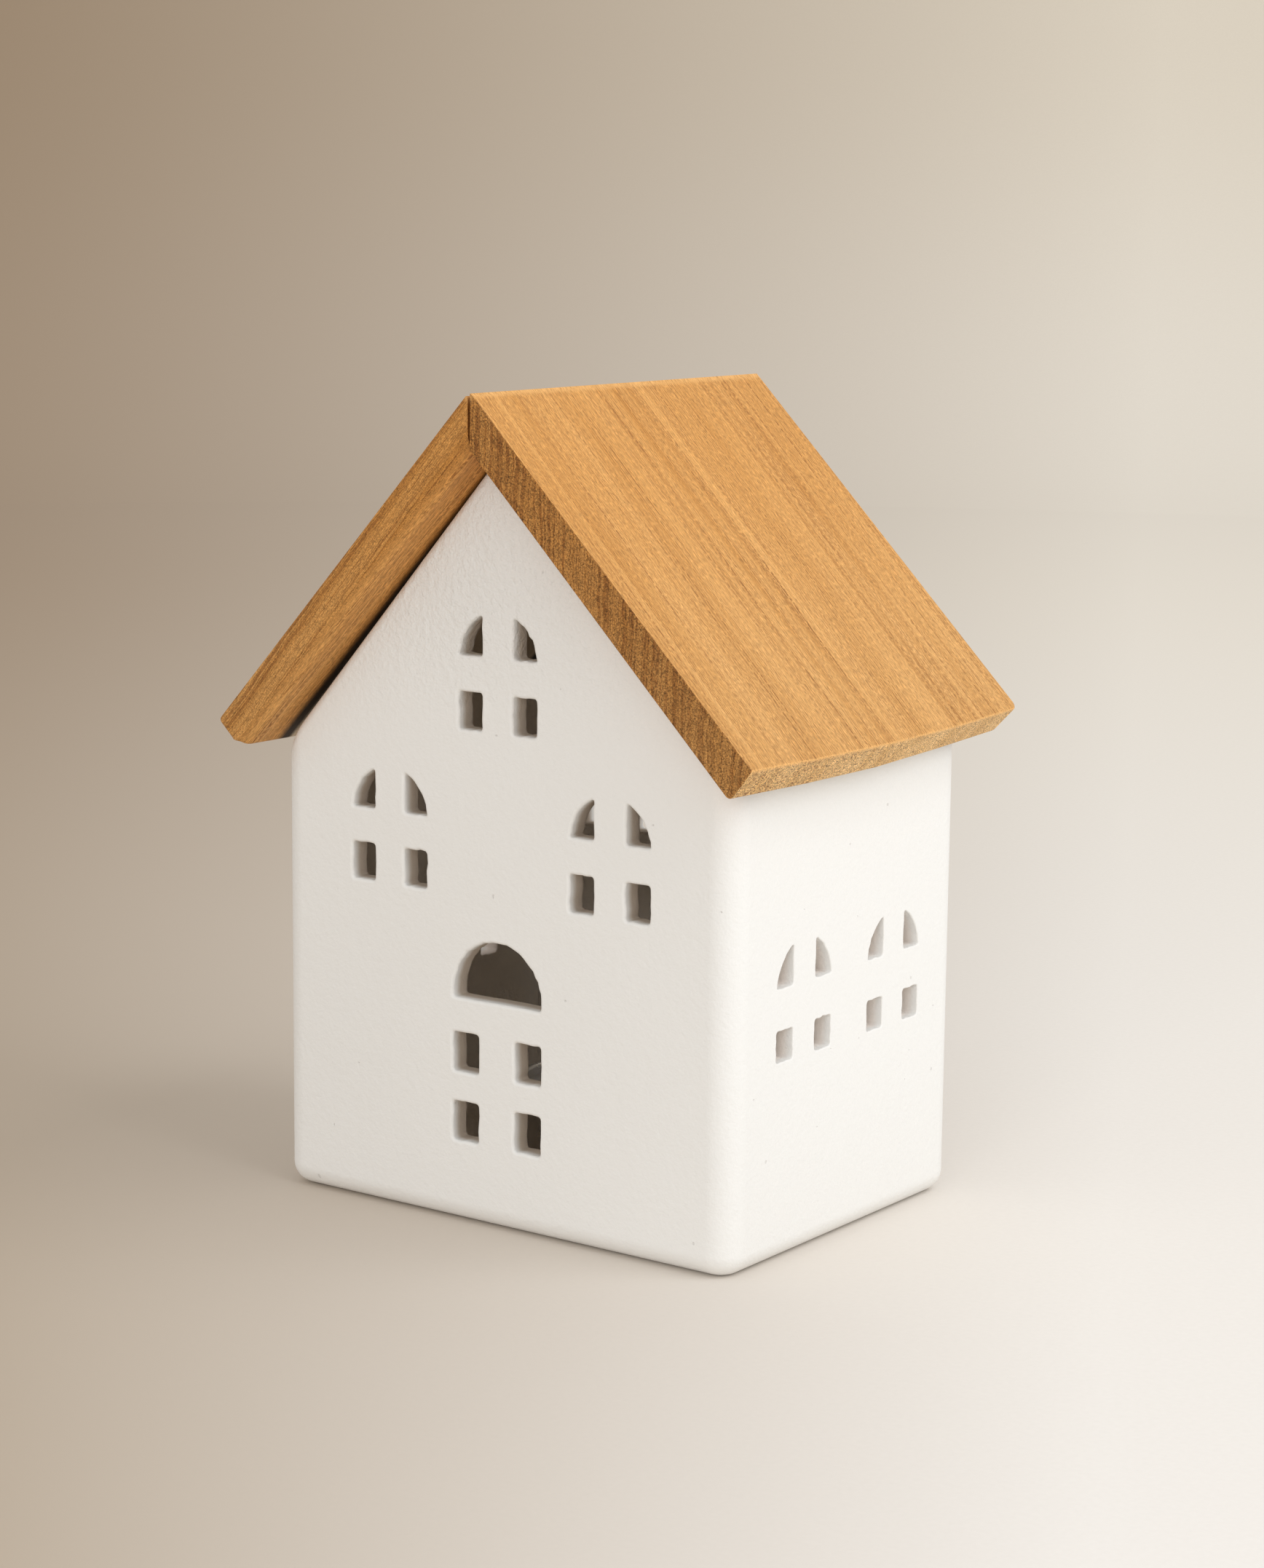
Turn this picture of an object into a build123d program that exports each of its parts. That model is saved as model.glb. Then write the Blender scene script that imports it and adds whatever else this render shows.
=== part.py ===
from build123d import *
from math import cos, radians, sin, tan
import os

# Tealight house: a slip-cast ceramic body with windows cut through its walls,
# a loose pitched roof of two mitred boards, and the tealight that stands inside.
# Millimetres, +Z up. The origin is the middle of the base, and the front faces -Y.

# House body
body_width = 100.0  # outside, left to right
body_depth = 73.0  # outside, front to back
gable_height = 138.2  # to the sharp tip of the gables
roof_pitch = 45.0  # degrees
wall_thickness = 4.5
floor_thickness = 5.0
corner_radius = 5.0  # upright corners
gable_tip_radius = 3.0
inner_corner_radius = 3.0
side_land_rise = 2.0  # flat land of the side walls, above the shoulder
base_round_share = 0.8  # of the corner radius, round the foot
rim_round_share = 0.55  # of the wall, along the outside of the rim
lip_bevel_share = 0.2  # of the wall, along the inside of the gables
floor_round_share = 0.8  # of the inner corner radius, round the floor inside

# Windows: two square panes under two panes that share one arch
window_width = 17.0
window_mullion = 6.8
front_pane_height = 6.7
front_transom = 6.4
side_pane_height = 5.6
side_transom = 7.4
arch_drop = 0.6  # centre of the arch, below the sill of its panes
pane_corner = 0.5  # cut off each corner of a pane
top_sill_share = 0.645  # of the gable height
lower_sill_share = 0.432  # of the gable height
lower_spread_share = 0.243  # of the body width, out from the middle
side_sill_share = 0.403  # of the shoulder height
side_spread_share = 0.197  # of the body depth, out from the middle

# Door: four square panes under a fanlight
door_width = 19.5
door_mullion = 8.05
door_pane_height = 7.15
door_sill = 15.1
door_rail = 5.45  # between the two rows of panes
fanlight_rail = 6.3  # between the upper row and the fanlight
fanlight_stilt = 1.1  # straight sides under the half round

# Roof boards
board_thickness = 7.0
board_length = 82.0  # down the slope, from the sharp ridge to the eave
front_overhang = 7.8
back_overhang = 6.0
seat_gap = 0.2  # between the boards and the gables
mitre_gap = 0.3
ridge_ease = 0.8  # height sanded off the sharp ridge
eave_top_radius = 0.8
eave_bottom_radius = 1.5
back_corner_radius = 3.0
arris = 0.4  # eased edges along the front

# Ridge block, glued under the mitre between the gables
block_width = 24.0
block_top_width = 3.0
block_play = 0.75  # to each gable

# Tealight
cup_diameter = 38.0  # over the turned-out rim
cup_height = 15.5
cup_wall = 0.4
cup_rim = 0.8  # width of the turned-out rim
cup_foot_bevel = 1.2
wax_drop = 2.0  # below the rim
wax_clearance = 0.15
wick_diameter = 1.8
wick_stand = 6.0  # above the wax
wick_clearance = 0.1
sustainer_diameter = 13.0
sustainer_thickness = 0.5
collar_diameter = 4.0
collar_height = 3.5

# One overrun for every cut that passes out of a face
overrun = 2.0

# Sizes that follow from these
pitch_sin = sin(radians(roof_pitch))
pitch_cos = cos(radians(roof_pitch))
pitch_tan = tan(radians(roof_pitch))
half_width = body_width / 2
half_depth = body_depth / 2
shoulder_height = gable_height - half_width * pitch_tan
side_wall_height = shoulder_height + side_land_rise
inner_width = body_width - 2 * wall_thickness
inner_depth = body_depth - 2 * wall_thickness
base_radius = base_round_share * corner_radius
rim_radius = rim_round_share * wall_thickness
lip_bevel = lip_bevel_share * wall_thickness
inner_floor_radius = floor_round_share * inner_corner_radius

os.makedirs("parts", exist_ok=True)


# Panes of one window, about the middle of its sill
def window_panes(pane_height, transom):
    arch_sill = pane_height + transom
    with BuildSketch() as panes:
        with Locations((0, arch_sill - arch_drop)):
            Circle(window_width / 2)
        with Locations((0, arch_sill)):
            Rectangle(window_width, window_width, align=(Align.CENTER, Align.MAX), mode=Mode.SUBTRACT)
        Rectangle(window_width, pane_height, align=(Align.CENTER, Align.MIN))
        Rectangle(
            window_mullion,
            arch_sill + window_width,
            align=(Align.CENTER, Align.MIN),
            mode=Mode.SUBTRACT,
        )
        chamfer(panes.vertices(), pane_corner)
    return panes.sketch


# Panes of the door, about the middle of its sill
def door_panes():
    upper_sill = door_pane_height + door_rail
    fanlight_sill = upper_sill + door_pane_height + fanlight_rail
    with BuildSketch() as panes:
        for sill in (0, upper_sill):
            with Locations((0, sill)):
                Rectangle(door_width, door_pane_height, align=(Align.CENTER, Align.MIN))
        Rectangle(
            door_mullion,
            fanlight_sill,
            align=(Align.CENTER, Align.MIN),
            mode=Mode.SUBTRACT,
        )
        with Locations((0, fanlight_sill + fanlight_stilt)):
            Circle(door_width / 2)
        with Locations((0, fanlight_sill)):
            Rectangle(door_width, fanlight_stilt, align=(Align.CENTER, Align.MIN))
        with Locations((0, fanlight_sill)):
            Rectangle(door_width, fanlight_rail, align=(Align.CENTER, Align.MAX), mode=Mode.SUBTRACT)
        chamfer(panes.vertices(), pane_corner)
    return panes.sketch


front_window = window_panes(front_pane_height, front_transom)
side_window = window_panes(side_pane_height, side_transom)
door = door_panes()

# House body
with BuildPart() as house_body:
    # Gable outline, carried from front to back
    with BuildSketch(Plane.XZ):
        with BuildLine():
            Polyline(
                (-half_width, 0),
                (half_width, 0),
                (half_width, shoulder_height),
                (0, gable_height),
                (-half_width, shoulder_height),
                close=True,
            )
        make_face()
    extrude(amount=half_depth, both=True)

    # Rounded uprights, gable tip, rim and foot of the casting
    fillet(house_body.edges().filter_by(Axis.Z), corner_radius)
    fillet(house_body.edges().filter_by(Axis.Y).sort_by(Axis.Z)[-1], gable_tip_radius)
    upper_edges = house_body.edges().filter_by(lambda edge: edge.center().Z > shoulder_height - corner_radius)
    tip_lines = upper_edges.filter_by(Axis.Y).sort_by(Axis.Z)[-2:]
    fillet(upper_edges - tip_lines, rim_radius)
    fillet(house_body.faces().sort_by(Axis.Z)[0].edges(), base_radius)

    # Candle chamber, open at the top
    with BuildSketch(Plane.XY.offset(floor_thickness)):
        RectangleRounded(inner_width, inner_depth, inner_corner_radius)
    extrude(amount=gable_height, mode=Mode.SUBTRACT)
    fillet(house_body.edges(Select.LAST).group_by(Axis.Z)[0], inner_floor_radius)

    # Flat land along the top of the side walls
    with BuildSketch(Plane.XY.offset(side_wall_height)):
        Rectangle(body_width + 2 * overrun, inner_depth)
    extrude(amount=gable_height, mode=Mode.SUBTRACT)

    # Bevelled lip along the inside of the gables
    gable_edges = house_body.edges().filter_by(lambda edge: edge.center().Z > side_wall_height)
    lip_reach = inner_depth / 2 + lip_bevel / 2
    chamfer(gable_edges.filter_by_position(Axis.Y, -lip_reach, lip_reach), lip_bevel)

    # Windows and door through both gables, and windows through both side walls
    with BuildSketch(Plane.XZ):
        with Locations((0, top_sill_share * gable_height)):
            add(front_window)
        lower_sill = lower_sill_share * gable_height
        lower_spread = lower_spread_share * body_width
        with Locations((-lower_spread, lower_sill), (lower_spread, lower_sill)):
            add(front_window)
        with Locations((0, door_sill)):
            add(door)
    extrude(amount=half_depth + overrun, both=True, mode=Mode.SUBTRACT)
    with BuildSketch(Plane.YZ):
        side_sill = side_sill_share * shoulder_height
        side_spread = side_spread_share * body_depth
        with Locations((-side_spread, side_sill), (side_spread, side_sill)):
            add(side_window)
    extrude(amount=half_width + overrun, both=True, mode=Mode.SUBTRACT)

house_body.part.label = "house_body"
export_step(house_body.part, "parts/house_body.step")

# Roof boards, seated on the gables and mitred at the ridge
inner_ridge = gable_height + seat_gap / pitch_cos
outer_ridge = inner_ridge + board_thickness / pitch_cos
eave_x = board_length * pitch_cos
eave_z = outer_ridge - board_length * pitch_sin
mitre_x = mitre_gap / 2
roof_front = half_depth + front_overhang
roof_depth = roof_front + half_depth + back_overhang

with BuildPart() as roof_board_right:
    with BuildSketch(Plane.XZ.offset(roof_front)):
        with BuildLine():
            Polyline(
                (mitre_x, inner_ridge - mitre_x * pitch_tan),
                (eave_x - board_thickness * pitch_sin, eave_z - board_thickness * pitch_cos),
                (eave_x, eave_z),
                (ridge_ease / pitch_tan, outer_ridge - ridge_ease),
                (mitre_x, outer_ridge - ridge_ease),
                close=True,
            )
        make_face()
    extrude(amount=-roof_depth)
    # Rounded back corner, then sanded eave edges, then eased front edges
    fillet(roof_board_right.faces().sort_by(Axis.Y)[-1].edges().sort_by(Axis.X)[-1], back_corner_radius)
    fillet(roof_board_right.edges().filter_by(Axis.Y).sort_by(Axis.X)[-1], eave_top_radius)
    fillet(roof_board_right.edges().filter_by(Axis.Y).sort_by(Axis.Z)[0], eave_bottom_radius)
    front_edges = roof_board_right.faces().sort_by(Axis.Y)[0].edges()
    chamfer(front_edges.sort_by(SortBy.LENGTH)[-2:], arris)

roof_board_right.part.label = "roof_board_right"
export_step(roof_board_right.part, "parts/roof_board_right.step")

with BuildPart() as roof_board_left:
    mirror(roof_board_right.part, about=Plane.YZ)

roof_board_left.part.label = "roof_board_left"
export_step(roof_board_left.part, "parts/roof_board_left.step")

# Ridge block
block_length = inner_depth - 2 * block_play
block_foot = inner_ridge - block_width / 2 * pitch_tan
block_top = inner_ridge - block_top_width / 2 * pitch_tan

with BuildPart() as ridge_block:
    with BuildSketch(Plane.XZ):
        with BuildLine():
            Polyline(
                (-block_width / 2, block_foot),
                (block_width / 2, block_foot),
                (block_top_width / 2, block_top),
                (-block_top_width / 2, block_top),
                close=True,
            )
        make_face()
    extrude(amount=block_length / 2, both=True)

ridge_block.part.label = "ridge_block"
export_step(ridge_block.part, "parts/ridge_block.step")

# Tealight, standing on the floor of the chamber
tealight_plane = Plane.XZ.shift_origin((0, 0, floor_thickness))
cup_radius = cup_diameter / 2 - cup_rim
wax_top = cup_height - wax_drop
wax_radius = cup_radius - cup_wall - wax_clearance
wick_radius = wick_diameter / 2
wick_hole_radius = wick_radius + wick_clearance
collar_top = cup_wall + collar_height

with BuildPart() as tealight_cup:
    with BuildSketch(tealight_plane) as cup_section:
        with BuildLine():
            Polyline(
                (0, 0),
                (cup_radius, 0),
                (cup_radius, cup_height - cup_wall),
                (cup_diameter / 2, cup_height - cup_wall),
                (cup_diameter / 2, cup_height),
                (cup_radius - cup_wall, cup_height),
                (cup_radius - cup_wall, cup_wall),
                (0, cup_wall),
                close=True,
            )
        make_face()
        foot_corners = cup_section.vertices().sort_by(Axis.Y)[:4].sort_by(Axis.X)[-2:]
        chamfer(foot_corners, cup_foot_bevel)
    revolve(axis=Axis.Z)

tealight_cup.part.label = "tealight_cup"
export_step(tealight_cup.part, "parts/tealight_cup.step")

# Wax, poured round the wick and its sustainer
with BuildPart() as tealight_wax:
    with BuildSketch(tealight_plane) as wax_section:
        with BuildLine():
            Polyline(
                (sustainer_diameter / 2 + wax_clearance, cup_wall),
                (wax_radius, cup_wall),
                (wax_radius, wax_top),
                (wick_hole_radius, wax_top),
                (wick_hole_radius, collar_top + wax_clearance),
                (collar_diameter / 2 + wax_clearance, collar_top + wax_clearance),
                (collar_diameter / 2 + wax_clearance, cup_wall + sustainer_thickness + wax_clearance),
                (sustainer_diameter / 2 + wax_clearance, cup_wall + sustainer_thickness + wax_clearance),
                close=True,
            )
        make_face()
        foot_corner = wax_section.vertices().group_by(Axis.Y)[0].sort_by(Axis.X)[-1]
        chamfer(foot_corner, cup_foot_bevel)
    revolve(axis=Axis.Z)

tealight_wax.part.label = "tealight_wax"
export_step(tealight_wax.part, "parts/tealight_wax.step")

# Sustainer, a pressed tab with a collar that grips the wick
with BuildPart() as wick_sustainer:
    with BuildSketch(tealight_plane):
        with BuildLine():
            Polyline(
                (wick_hole_radius, cup_wall),
                (sustainer_diameter / 2, cup_wall),
                (sustainer_diameter / 2, cup_wall + sustainer_thickness),
                (collar_diameter / 2, cup_wall + sustainer_thickness),
                (collar_diameter / 2, collar_top),
                (wick_hole_radius, collar_top),
                close=True,
            )
        make_face()
    revolve(axis=Axis.Z)

wick_sustainer.part.label = "wick_sustainer"
export_step(wick_sustainer.part, "parts/wick_sustainer.step")

# Wick
with BuildPart() as tealight_wick:
    with BuildSketch(Plane.XY.offset(floor_thickness + cup_wall)):
        Circle(wick_radius)
    extrude(amount=wax_top - cup_wall + wick_stand)
    chamfer(tealight_wick.faces().sort_by(Axis.Z)[-1].edges(), wick_radius / 2)

tealight_wick.part.label = "tealight_wick"
export_step(tealight_wick.part, "parts/tealight_wick.step")
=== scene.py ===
import bpy
import bmesh
import math
from mathutils import Matrix, Vector


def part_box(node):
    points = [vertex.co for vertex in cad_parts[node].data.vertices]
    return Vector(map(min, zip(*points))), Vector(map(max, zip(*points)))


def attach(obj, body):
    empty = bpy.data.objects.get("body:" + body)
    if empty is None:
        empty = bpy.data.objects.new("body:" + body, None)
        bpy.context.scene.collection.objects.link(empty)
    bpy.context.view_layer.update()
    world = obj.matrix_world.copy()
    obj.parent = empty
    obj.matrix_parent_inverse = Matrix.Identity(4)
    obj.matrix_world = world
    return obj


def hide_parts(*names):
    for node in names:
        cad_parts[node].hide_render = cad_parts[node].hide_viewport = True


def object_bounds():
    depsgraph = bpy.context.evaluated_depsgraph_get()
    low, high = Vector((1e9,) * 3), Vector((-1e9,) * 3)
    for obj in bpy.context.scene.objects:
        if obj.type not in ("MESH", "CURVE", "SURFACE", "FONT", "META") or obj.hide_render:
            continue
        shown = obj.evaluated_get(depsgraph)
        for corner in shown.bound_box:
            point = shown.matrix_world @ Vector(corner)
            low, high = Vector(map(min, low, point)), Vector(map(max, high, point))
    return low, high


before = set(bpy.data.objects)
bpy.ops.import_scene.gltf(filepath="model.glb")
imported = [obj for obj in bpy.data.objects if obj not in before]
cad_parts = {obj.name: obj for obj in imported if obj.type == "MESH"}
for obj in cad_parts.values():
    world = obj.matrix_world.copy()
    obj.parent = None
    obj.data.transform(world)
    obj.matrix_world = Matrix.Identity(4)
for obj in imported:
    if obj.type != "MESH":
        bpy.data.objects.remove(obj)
cadLow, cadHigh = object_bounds()
mm = 0.001
print("frame loaded:", ", ".join(sorted(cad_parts)))


# Selection and modelling helpers

def deselect():
    if bpy.context.mode != "OBJECT":
        bpy.ops.object.mode_set(mode="OBJECT")
    bpy.ops.object.select_all(action="DESELECT")


def activate(piece):
    deselect()
    piece.select_set(True)
    bpy.context.view_layer.objects.active = piece


def edit(piece):
    activate(piece)
    bpy.ops.object.mode_set(mode="EDIT")
    bpy.ops.mesh.select_all(action="DESELECT")


def middle(part):
    if isinstance(part, bmesh.types.BMVert):
        return part.co
    return sum((v.co for v in part.verts), Vector()) / len(part.verts)


def choose(piece, kind, test):  # kind is verts, edges or faces, and test says which
    bpy.ops.mesh.select_mode(type=kind[:-1].upper())
    bpy.ops.mesh.select_all(action="DESELECT")
    mesh = bmesh.from_edit_mesh(piece.data)
    for part in getattr(mesh, kind):
        if test(part):
            part.select_set(True)
    mesh.select_flush_mode()
    bmesh.update_edit_mesh(piece.data)


def chooseAll(piece):
    choose(piece, "verts", lambda vert: True)


def roundOff(amount, steps):
    bpy.ops.mesh.bevel(offset=amount, segments=steps, profile=0.5, affect="EDGES", clamp_overlap=False)


def cutAway(point, normal):  # cuts away what lies on the normal's side
    bpy.ops.mesh.select_all(action="SELECT")
    bpy.ops.mesh.bisect(plane_co=point, plane_no=normal, use_fill=True, clear_outer=True)


def runsAlong(edge, axis, share=0.999):
    run = edge.verts[1].co - edge.verts[0].co
    return abs(run[axis]) > share * run.length


def addBlock(name, low, high):
    deselect()
    bpy.ops.mesh.primitive_cube_add(size=1, location=(Vector(low) + Vector(high)) / 2)
    piece = bpy.context.object
    piece.scale = Vector(high) - Vector(low)
    bpy.ops.object.transform_apply(location=True, rotation=True, scale=True)
    piece.name = piece.data.name = name
    return piece


def slide(piece, test, run):  # moves the corners that the test picks along X
    choose(piece, "verts", lambda vert: test(vert.co))
    bpy.ops.transform.translate(value=(run, 0, 0))


def modify(piece, kind, **settings):
    activate(piece)
    modifier = piece.modifiers.new(kind.lower(), kind)
    for name, value in settings.items():
        setattr(modifier, name, value)
    bpy.ops.object.modifier_apply(modifier=modifier.name)


def cut(piece, cutters):
    deselect()
    for cutter in cutters:
        cutter.select_set(True)
    bpy.context.view_layer.objects.active = cutters[0]
    if len(cutters) > 1:
        bpy.ops.object.join()
    tool = bpy.context.object
    modify(piece, "BOOLEAN", operation="DIFFERENCE", solver="EXACT", object=tool)
    bpy.data.objects.remove(tool)


def outward(piece):
    edit(piece)
    chooseAll(piece)
    bpy.ops.mesh.remove_doubles(threshold=0.002 * mm)
    bpy.ops.mesh.normals_make_consistent(inside=False)
    bpy.ops.object.mode_set(mode="OBJECT")


def shade(piece, angle):
    activate(piece)
    bpy.ops.object.shade_smooth_by_angle(angle=math.radians(angle))


def settle(piece, body, node, slot, *materials):  # rides, stands for its CAD node and takes its finish
    piece.data.materials.clear()
    for material in materials:
        piece.data.materials.append(material)
    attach(piece, body)
    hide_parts(node)


# Camera, fitted to the corners of the house in the photo

camera = {
    "azimuth": 35.974, "elevation": 9.851, "roll": 0.552,  # degrees
    "target": (2.51, 0.0, 75.69), "distance": 622.17,  # mm
    "focalPixels": 4710.85, "framePixels": 2154, "sensor": 36.0,
}


def addCamera():
    az, el, roll = (math.radians(camera[name]) for name in ("azimuth", "elevation", "roll"))
    back = Vector((math.sin(az) * math.cos(el), -math.cos(az) * math.cos(el), math.sin(el)))
    right = Vector((math.cos(az), math.sin(az), 0))
    up = back.cross(right)
    across = right * math.cos(roll) + up * math.sin(roll)
    upright = up * math.cos(roll) - right * math.sin(roll)
    place = (Vector(camera["target"]) + back * camera["distance"]) * mm
    deselect()
    bpy.ops.object.camera_add(location=place)
    cam = bpy.context.object
    cam.matrix_world = Matrix.Translation(place) @ Matrix((across, upright, back)).transposed().to_4x4()
    cam.data.sensor_width = camera["sensor"]
    cam.data.lens = camera["focalPixels"] / camera["framePixels"] * camera["sensor"]
    cam.data.clip_start = 0.01
    bpy.context.scene.camera = cam


addCamera()
bpy.context.scene.view_settings.view_transform = "Standard"
print("camera set")


# Shader helpers

def feed(tree, node, values):  # each value is a number, a colour or another node's socket
    for socket, value in values.items():
        if isinstance(value, bpy.types.NodeSocket):
            tree.links.new(value, node.inputs[socket])
        else:
            node.inputs[socket].default_value = value


def newNode(tree, kind, values=None, **settings):
    node = tree.nodes.new("ShaderNode" + kind)
    for name, value in settings.items():
        setattr(node, name, value)
    feed(tree, node, values or {})
    return node


def calc(tree, operation, *values):
    return newNode(tree, "Math", dict(enumerate(values)), operation=operation).outputs[0]


def vectorCalc(tree, operation, *values):
    node = newNode(tree, "VectorMath", dict(enumerate(values)), operation=operation)
    return node.outputs["Value" if operation in ("DOT_PRODUCT", "LENGTH") else "Vector"]


def ramp(tree, value, low, high, start=0.0, end=1.0):
    sockets = {"Value": value, "From Min": low, "From Max": high, "To Min": start, "To Max": end}
    return newNode(tree, "MapRange", sockets, interpolation_type="SMOOTHSTEP").outputs["Result"]


def blend(tree, factor, first, second, kind="MIX"):
    sockets = {0: factor, 6: first, 7: second}
    return newNode(tree, "Mix", sockets, data_type="RGBA", blend_type=kind).outputs[2]


def noise(tree, place, scale=1.0, detail=2.0, rough=0.5):
    sockets = {"Vector": place, "Scale": scale, "Detail": detail, "Roughness": rough}
    return newNode(tree, "TexNoise", sockets).outputs[0]


def noiseAlong(tree, value, scale, detail=2.0, rough=0.5):
    sockets = {"W": value, "Scale": scale, "Detail": detail, "Roughness": rough}
    return newNode(tree, "TexNoise", sockets, noise_dimensions="1D").outputs[0]


def newGroup(name, inputs, outputs):
    tree = bpy.data.node_groups.new(name, "ShaderNodeTree")
    for socket, kind, value in inputs:
        made = tree.interface.new_socket(socket, in_out="INPUT", socket_type="NodeSocket" + kind)
        made.default_value = value
    for socket, kind in outputs:
        tree.interface.new_socket(socket, in_out="OUTPUT", socket_type="NodeSocket" + kind)
    start = tree.nodes.new("NodeGroupInput").outputs
    end = tree.nodes.new("NodeGroupOutput").inputs
    return tree, start, end


def useGroup(tree, group, values):
    node = tree.nodes.new("ShaderNodeGroup")
    node.node_tree = group
    feed(tree, node, values)
    return node.outputs


def newMaterial(name):
    material = bpy.data.materials.new(name)
    material.use_nodes = True
    tree = material.node_tree
    tree.nodes.clear()
    shader = tree.nodes.new("ShaderNodeBsdfPrincipled")
    output = tree.nodes.new("ShaderNodeOutputMaterial")
    tree.links.new(shader.outputs[0], output.inputs["Surface"])
    return material, tree, shader


def finishBump(tree, shader, height, strength, distance):
    sockets = {"Height": height, "Strength": strength, "Distance": distance}
    tree.links.new(newNode(tree, "Bump", sockets).outputs[0], shader.inputs["Normal"])


# Grain shared by the roof boards and the block
# x runs with the fibres from the ridge, and z is zero at the top face

wood = {
    "pale": (0.78, 0.402, 0.123, 1), "deep": (0.565, 0.255, 0.059, 1),
    "line": (0.42, 0.29, 0.18, 1),  # tint of a dark line or pore
    # nearly black painted shade under each board where it lies on the gable walls
    "paintedSeatShade": (0.012, 0.008, 0.005, 1),
    "barePale": (0.78, 0.66, 0.51, 1), "bareDeep": (0.68, 0.55, 0.40, 1),
    "eaveTint": (1.0, 1.07, 1.24, 1), "wornTint": (1.12, 1.2, 1.4, 1),
    "clouds": 1.35, "bands": 0.75, "streaks": 0.6, "stripes": 0.9,  # how far each moves the stain
    "strings": 0.75, "threads": 0.55, "pores": 0.2, "sideLines": 0.7, "endPores": 0.9, "mitre": 0.95,
    "tooth": 1.9, "worn": 0.7, "bumpDepth": 0.07 * mm, "specular": 0.25,
}


def woodGrainGroup():
    white = (1, 1, 1, 1)
    tree, given, result = newGroup(
        "woodGrain",
        [("Place", "Vector", (0, 0, 0)), ("Facing", "Vector", (0, 0, 1)),
         ("Across Rings", "Vector", (0, 1, 0)), ("Side Rings", "Vector", (0, 0, 1)),
         ("Side Grit", "Float", 0.5), ("Seat", "Float", 1000.0),
         ("Pale", "Color", white), ("Deep", "Color", white), ("Line", "Color", white),
         ("Side Tint", "Color", white), ("End Tint", "Color", white)],
        [("Color", "Color"), ("Roughness", "Float"), ("Height", "Float")])
    place = vectorCalc(tree, "SCALE", given["Place"])
    place.node.inputs["Scale"].default_value = 1 / mm
    along = newNode(tree, "SeparateXYZ", {0: place}).outputs
    facing = newNode(tree, "SeparateXYZ", {0: given["Facing"]}).outputs
    onSide = ramp(tree, calc(tree, "ABSOLUTE", facing[1]), 0.55, 0.9)
    onEnd = ramp(tree, facing[0], 0.6, 0.9)
    onMitre = ramp(tree, facing[0], -0.45, -0.6)

    def stretched(*scales):
        return vectorCalc(tree, "MULTIPLY", place, scales)

    def swing(value, amount):
        return calc(tree, "MULTIPLY", calc(tree, "SUBTRACT", value, 0.5), amount)

    def times(*values):
        made = values[0]
        for value in values[1:]:
            made = calc(tree, "MULTIPLY", made, value)
        return made

    def lines(value, level, width):  # thin lines where a slow wave passes a level
        away = calc(tree, "ABSOLUTE", calc(tree, "SUBTRACT", value, level))
        return ramp(tree, away, width, width * 0.3)

    def tinted(colour, tint):
        return blend(tree, 1.0, colour, tint, "MULTIPLY")

    # underneath, painted shade where the board lies over the front and back gables, then bare wood
    past = calc(tree, "SUBTRACT", along[1], given["Seat"])
    onUnder = ramp(tree, facing[2], -0.6, -0.9)
    paintedSeatShadeMask = times(ramp(tree, past, 0.9, 3.4), ramp(tree, past, 72.1, 69.6), onUnder)
    bare = times(ramp(tree, past, 4.5, 6.0), ramp(tree, past, 67.0, 65.5), onUnder)

    # rings, bent a little along the board
    bend = swing(noise(tree, stretched(0.012, 0.03, 0.03)), 4.0)
    ripple = swing(noise(tree, stretched(0.06, 0.35, 0.35)), 0.5)
    wander = swing(noise(tree, stretched(0.16, 0.16, 0.16)), 1.1)
    topRing = calc(tree, "ADD", vectorCalc(tree, "DOT_PRODUCT", place, given["Across Rings"]), bend)
    sideRing = calc(tree, "ADD", vectorCalc(tree, "DOT_PRODUCT", place, given["Side Rings"]), wander)
    ring = newNode(tree, "Mix", {0: onSide, 2: topRing, 3: sideRing}, data_type="FLOAT").outputs[0]
    ring = calc(tree, "ADD", ring, ripple)
    medium = noiseAlong(tree, calc(tree, "ADD", ring, 37.0), 0.42, 2.0)
    fine = noiseAlong(tree, calc(tree, "ADD", ring, 91.0), 1.7, 3.0, 0.62)
    late = noiseAlong(tree, calc(tree, "ADD", ring, 153.0), 1.25, 1.0)
    broken = ramp(tree, noise(tree, stretched(0.05, 0.7, 0.7)), 0.30, 0.66)

    # clouds of stain, pores strung along the fibres, and the tooth that sanding leaves
    cloud = noise(tree, stretched(0.012, 0.10, 0.10), detail=3.0)
    patch = ramp(tree, noise(tree, stretched(0.03, 0.22, 0.22)), 0.44, 0.62)
    dashes = ramp(tree, noise(tree, stretched(1.3, 1.6, 1.6), detail=2.0), 0.36, 0.52)
    strings = times(lines(late, 0.56, 0.06), dashes, calc(tree, "MULTIPLY_ADD", patch, 0.6, 0.4))
    threads = times(lines(fine, 0.53, 0.045), dashes)
    pores = ramp(tree, noise(tree, stretched(0.22, 3.8, 3.8), detail=1.0), 0.57, 0.69)
    fibre = noise(tree, stretched(0.8, 5.8, 5.8), rough=0.65)
    grit = noise(tree, stretched(4.3, 4.3, 4.3), detail=1.0, rough=0.65)
    coarse = ramp(tree, noise(tree, stretched(2.4, 2.4, 2.4), detail=1.0), 0.55, 0.66)
    endPores = ramp(tree, along[1], 20.0, -30.0, 0.35, 1.0)
    gritty = calc(tree, "MAXIMUM", times(onSide, given["Side Grit"]), onEnd)
    tooth = newNode(tree, "Mix", {0: gritty, 2: fibre, 3: grit}, data_type="FLOAT").outputs[0]

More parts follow.
